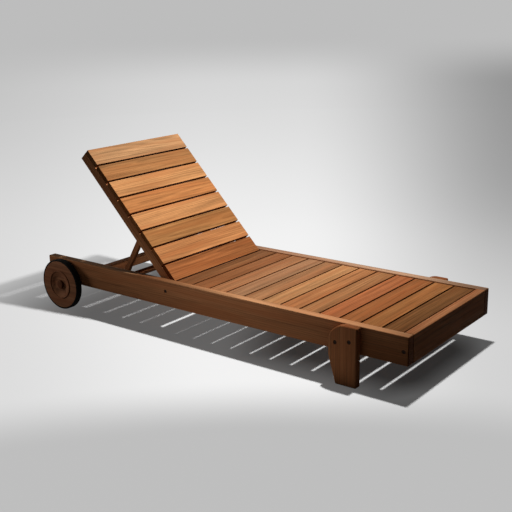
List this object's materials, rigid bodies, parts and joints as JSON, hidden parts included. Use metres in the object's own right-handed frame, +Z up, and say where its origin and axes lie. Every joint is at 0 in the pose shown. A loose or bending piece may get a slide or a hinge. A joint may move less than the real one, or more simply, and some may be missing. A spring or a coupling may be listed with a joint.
{
  "type": "chaise lounge",
  "caption": "Low wooden sun lounger with a slatted seat in side rails, a slatted back that tilts on a folding prop, legs at the foot and wheels at the head.",
  "frame": {"origin": "on the ground, under the middle of the lounger's whole length and width", "axes": "+X towards the foot end, +Y towards the left side of a person lying on the back, +Z up"},
  "size_m": [2.011, 0.806, 0.7884],
  "materials": {
    "frame_wood": "oiled hardwood, satin",
    "slat_wood": "oiled hardwood, satin",
    "dowel_wood": "plain",
    "dark_steel": "darkened",
    "zinc_steel": "zinc plated",
    "brass": "plain",
    "spacer_plastic": "matt",
    "tyre": "matt rubber"
  },
  "bodies": {
    "frame": {"side_rail_left": "frame_wood", "side_rail_right": "frame_wood", "foot_board": "frame_wood", "axle_beam": "frame_wood", "seat_ledger_left": "frame_wood", "seat_ledger_right": "frame_wood", "rack_left": "frame_wood", "rack_right": "frame_wood", "leg_left": "frame_wood", "leg_right": "frame_wood", "seat_slat_1": "slat_wood", "seat_slat_2": "slat_wood", "seat_slat_3": "slat_wood", "seat_slat_4": "slat_wood", "seat_slat_5": "slat_wood", "seat_slat_6": "slat_wood", "seat_slat_7": "slat_wood", "seat_slat_8": "slat_wood", "seat_slat_9": "slat_wood", "seat_slat_10": "slat_wood", "seat_slat_11": "slat_wood", "seat_slat_12": "slat_wood", "foot_board_bolts": "dark_steel", "foot_board_cross_nuts": "zinc_steel", "foot_board_dowels": "dowel_wood", "leg_bolts": "dark_steel", "leg_inserts": "brass", "seat_slat_screws": "zinc_steel", "rail_screws": "zinc_steel", "axle_beam_screws": "zinc_steel", "hinge_bolts": "dark_steel", "hinge_spacers": "spacer_plastic", "hinge_nuts": "dark_steel", "axle_bolts": "dark_steel", "axle_spacers": "spacer_plastic"},
    "backrest": {"back_stile_left": "frame_wood", "back_stile_right": "frame_wood", "back_slat_1": "slat_wood", "back_slat_2": "slat_wood", "back_slat_3": "slat_wood", "back_slat_4": "slat_wood", "back_slat_5": "slat_wood", "back_slat_6": "slat_wood", "back_slat_7": "slat_wood", "back_slat_8": "slat_wood", "back_slat_screws": "zinc_steel", "prop_bolts": "dark_steel"},
    "prop": {"prop_arm_left": "frame_wood", "prop_arm_right": "frame_wood", "prop_bar": "frame_wood", "prop_screws": "zinc_steel"},
    "wheel_left": {"wheel_left": "frame_wood", "tyre_left": "tyre", "hub_bush_left": "brass", "hub_cap_left": "frame_wood"},
    "wheel_right": {"wheel_right": "frame_wood", "tyre_right": "tyre", "hub_bush_right": "brass", "hub_cap_right": "frame_wood"}
  },
  "joints": [
    {"name": "backrest_tilt", "type": "hinge", "parent": "frame", "child": "backrest", "pos_m": [-0.2125, 0, 0.202], "axis": [0, 1, 0], "range_deg": [-46.4, 9.6]},
    {"name": "prop_swing", "type": "hinge", "parent": "backrest", "child": "prop", "pos_m": [-0.42427, 0, 0.42438], "axis": [0, 1, 0], "range_deg": [-20.6, 99.5]},
    {"name": "wheel_left_spin", "type": "hinge", "parent": "frame", "child": "wheel_left", "pos_m": [-0.8815, 0, 0.124], "axis": [0, 1, 0], "continuous": true},
    {"name": "wheel_right_spin", "type": "hinge", "parent": "frame", "child": "wheel_right", "pos_m": [-0.8815, 0, 0.124], "axis": [0, 1, 0], "continuous": true}
  ],
  "couplings": [
    {"joint": "prop_swing", "follows": "backrest_tilt", "ratio": -2.1427}
  ]
}
